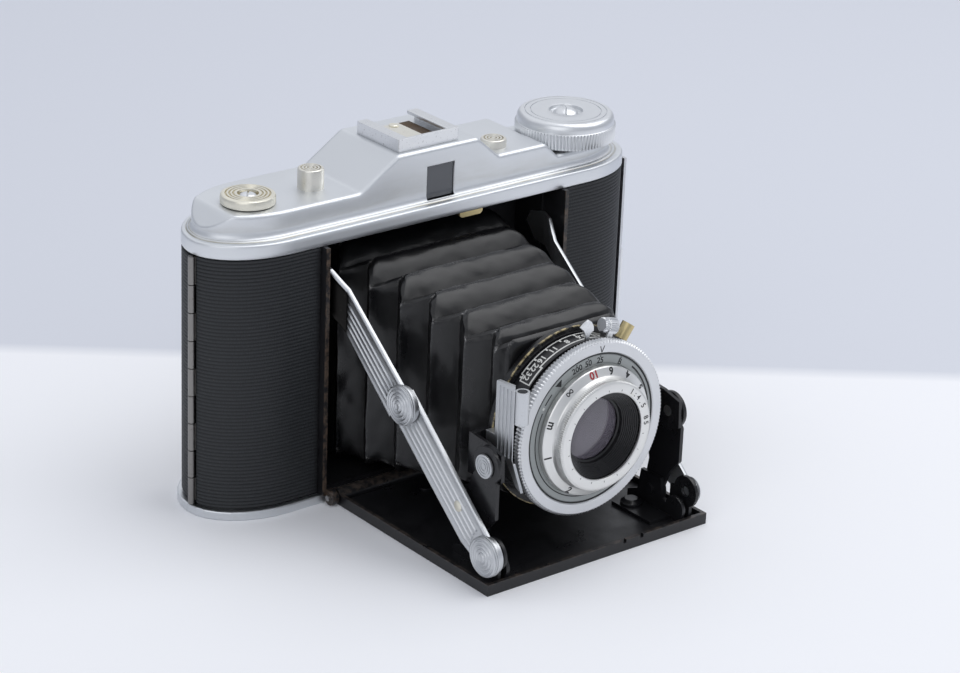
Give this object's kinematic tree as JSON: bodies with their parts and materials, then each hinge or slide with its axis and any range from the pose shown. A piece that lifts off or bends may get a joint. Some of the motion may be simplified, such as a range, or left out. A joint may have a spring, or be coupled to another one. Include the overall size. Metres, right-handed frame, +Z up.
{
  "type": "folding camera",
  "caption": "Roll-film folding camera, open, with a drop bed, grooved side struts, tapered bellows, a leaf shutter with numbered dials, a stepped metal top and a winding knob.",
  "frame": {"origin": "centre of the underside of the base plate", "axes": "+Z up out of the top cover, the lens looks along -Y, +X towards the winding knob"},
  "size_m": [0.1487, 0.1059, 0.0968],
  "materials": {
    "casing": "semi-matt black enamel",
    "leatherette": "fine ribbed grain",
    "base_metal": "satin",
    "cover_metal": "fine satin, worn edges",
    "bright_metal": "bright",
    "steel": "satin",
    "strut_metal": "grooved, bright",
    "glass": "clear, coated",
    "red_glass": "clear",
    "black_enamel": "gloss black",
    "cream": "aged cream",
    "brass": "dull",
    "ring_metal": "spun satin",
    "dial_grey": "matt grey",
    "bellows_leather": "glossy black"
  },
  "bodies": {
    "body": {"body_shell": "casing", "base_plate": "base_metal", "tripod_bush": "steel", "leather_left": "leatherette", "leather_right": "leatherette", "film_gate": "casing", "lower_spool_pins": "steel", "top_cover": "cover_metal", "finder_front_glass": "glass", "finder_rear_glass": "glass", "finder_tube": "black_enamel", "accessory_shoe": "bright_metal", "shoe_spring": "steel", "shoe_rivets": "bright_metal", "hinge_body_leaf": "steel", "back_hinge_pin": "steel", "bed_hinge_pin": "steel", "bellows": "bellows_leather"},
    "winding": {"winding_knob": "bright_metal", "winding_screw": "bright_metal", "winding_shaft": "steel", "takeup_spool": "black_enamel"},
    "supply_pin": {"supply_knob": "cream", "supply_screw": "bright_metal"},
    "release": {"release_button": "bright_metal"},
    "bed_release": {"bed_button": "bright_metal"},
    "latch": {"latch_hook": "brass"},
    "back": {"back_cover": "casing", "back_leather": "leatherette", "pressure_plate": "steel", "red_window": "red_glass", "hinge_back_leaf": "steel"},
    "back_latch": {"back_latch": "bright_metal"},
    "bed": {"bed_plate": "black_enamel", "bed_leather": "leatherette", "bed_brackets": "black_enamel", "bed_rivets": "bright_metal"},
    "link_left": {"link_left": "black_enamel"},
    "link_right": {"link_right": "black_enamel"},
    "standard": {"standard_plate": "black_enamel", "standard_rivets": "bright_metal", "shutter_case": "black_enamel", "aperture_scale": "black_enamel", "face_plate": "dial_grey", "rear_lens": "glass", "shutter_blades": "black_enamel", "sync_post": "brass", "release_cover": "strut_metal", "cable_socket": "steel"},
    "speed_dial": {"speed_ring": "ring_metal"},
    "focus": {"focus_ring": "ring_metal", "lens_cell": "black_enamel", "front_lens": "glass"},
    "aperture": {"aperture_lever": "steel"},
    "release_lever": {"cocking_lever": "steel"},
    "strut_upper_left": {"strut_upper_left": "strut_metal"},
    "strut_upper_right": {"strut_upper_right": "strut_metal"},
    "strut_lower_left": {"strut_lower_left": "strut_metal"},
    "strut_lower_right": {"strut_lower_right": "strut_metal"}
  },
  "joints": [
    {"name": "bed_hinge", "type": "hinge", "parent": "body", "child": "bed", "pos_m": [0, -0.0182, 0.0022], "axis": [-1, 0, 0], "range_deg": [0, 90], "deforming": ["bellows"]},
    {"name": "link_left_swing", "type": "hinge", "parent": "bed", "child": "link_left", "pos_m": [0, -0.07005, 0.00695], "axis": [-1, 0, 0], "range_deg": [0, 90]},
    {"name": "link_right_swing", "type": "hinge", "parent": "bed", "child": "link_right", "pos_m": [0, -0.07005, 0.00695], "axis": [-1, 0, 0], "range_deg": [0, 90]},
    {"name": "standard_swing", "type": "hinge", "parent": "link_left", "child": "standard", "pos_m": [0, -0.075, 0.032], "axis": [-1, 0, 0], "range_deg": [-180, 0]},
    {"name": "strut_upper_left_swing", "type": "hinge", "parent": "body", "child": "strut_upper_left", "pos_m": [0, -0.009, 0.0625], "axis": [1, 0, 0], "range_deg": [0, 58.34]},
    {"name": "strut_lower_left_swing", "type": "hinge", "parent": "bed", "child": "strut_lower_left", "pos_m": [0, -0.0811, 0.0097], "axis": [-1, 0, 0], "range_deg": [0, 37.88]},
    {"name": "strut_upper_right_swing", "type": "hinge", "parent": "body", "child": "strut_upper_right", "pos_m": [0, -0.009, 0.0625], "axis": [1, 0, 0], "range_deg": [0, 58.34]},
    {"name": "strut_lower_right_swing", "type": "hinge", "parent": "bed", "child": "strut_lower_right", "pos_m": [0, -0.0811, 0.0097], "axis": [-1, 0, 0], "range_deg": [0, 37.88]},
    {"name": "speed_turn", "type": "hinge", "parent": "standard", "child": "speed_dial", "pos_m": [0, -0.0773, 0.0356], "axis": [0, -1, 0], "range_deg": [-22, 38]},
    {"name": "focus_turn", "type": "hinge", "parent": "standard", "child": "focus", "pos_m": [0, -0.08, 0.0356], "axis": [0, -1, 0], "range_deg": [0, 290]},
    {"name": "aperture_turn", "type": "hinge", "parent": "standard", "child": "aperture", "pos_m": [0, -0.0755, 0.0356], "axis": [0, -1, 0], "range_deg": [0, 62]},
    {"name": "release_lever_turn", "type": "hinge", "parent": "standard", "child": "release_lever", "pos_m": [0, -0.0746, 0.0356], "axis": [0, -1, 0], "range_deg": [0, 8], "stiffness_Nm_per_rad": 0.02},
    {"name": "winding_turn", "type": "hinge", "parent": "body", "child": "winding", "pos_m": [0.0533, 0, 0.08], "axis": [0, 0, 1], "continuous": true},
    {"name": "supply_pull", "type": "slide", "parent": "body", "child": "supply_pin", "axis": [0, 0, 1], "range_m": [0, 0.006]},
    {"name": "release_press", "type": "slide", "parent": "body", "child": "release", "axis": [0, 0, -1], "range_m": [0, 0.0025], "stiffness_N_per_m": 400},
    {"name": "bed_release_press", "type": "slide", "parent": "body", "child": "bed_release", "axis": [0, 0, -1], "range_m": [0, 0.002], "stiffness_N_per_m": 400},
    {"name": "latch_swing", "type": "hinge", "parent": "body", "child": "latch", "pos_m": [0.012, -0.0099, 0.075], "axis": [1, 0, 0], "range_deg": [0, 9]},
    {"name": "back_swing", "type": "hinge", "parent": "body", "child": "back", "pos_m": [-0.0732, -0.0008, 0.038], "axis": [0, 0, 1], "range_deg": [0, 110]},
    {"name": "back_latch_slide", "type": "slide", "parent": "back", "child": "back_latch", "axis": [0, 0, 1], "range_m": [0, 0.003]}
  ],
  "couplings": [
    {"joint": "link_left_swing", "follows": "bed_hinge", "ratio": 1},
    {"joint": "link_right_swing", "follows": "bed_hinge", "ratio": 1},
    {"joint": "standard_swing", "follows": "bed_hinge", "ratio": -2},
    {"joint": "strut_upper_left_swing", "follows": "bed_hinge", "ratio": 0.64826},
    {"joint": "strut_lower_left_swing", "follows": "bed_hinge", "ratio": 0.42083},
    {"joint": "strut_upper_right_swing", "follows": "bed_hinge", "ratio": 0.64826},
    {"joint": "strut_lower_right_swing", "follows": "bed_hinge", "ratio": 0.42083},
    {"joint": "latch_swing", "follows": "bed_release_press", "rad_per_m": 69.813}
  ]
}
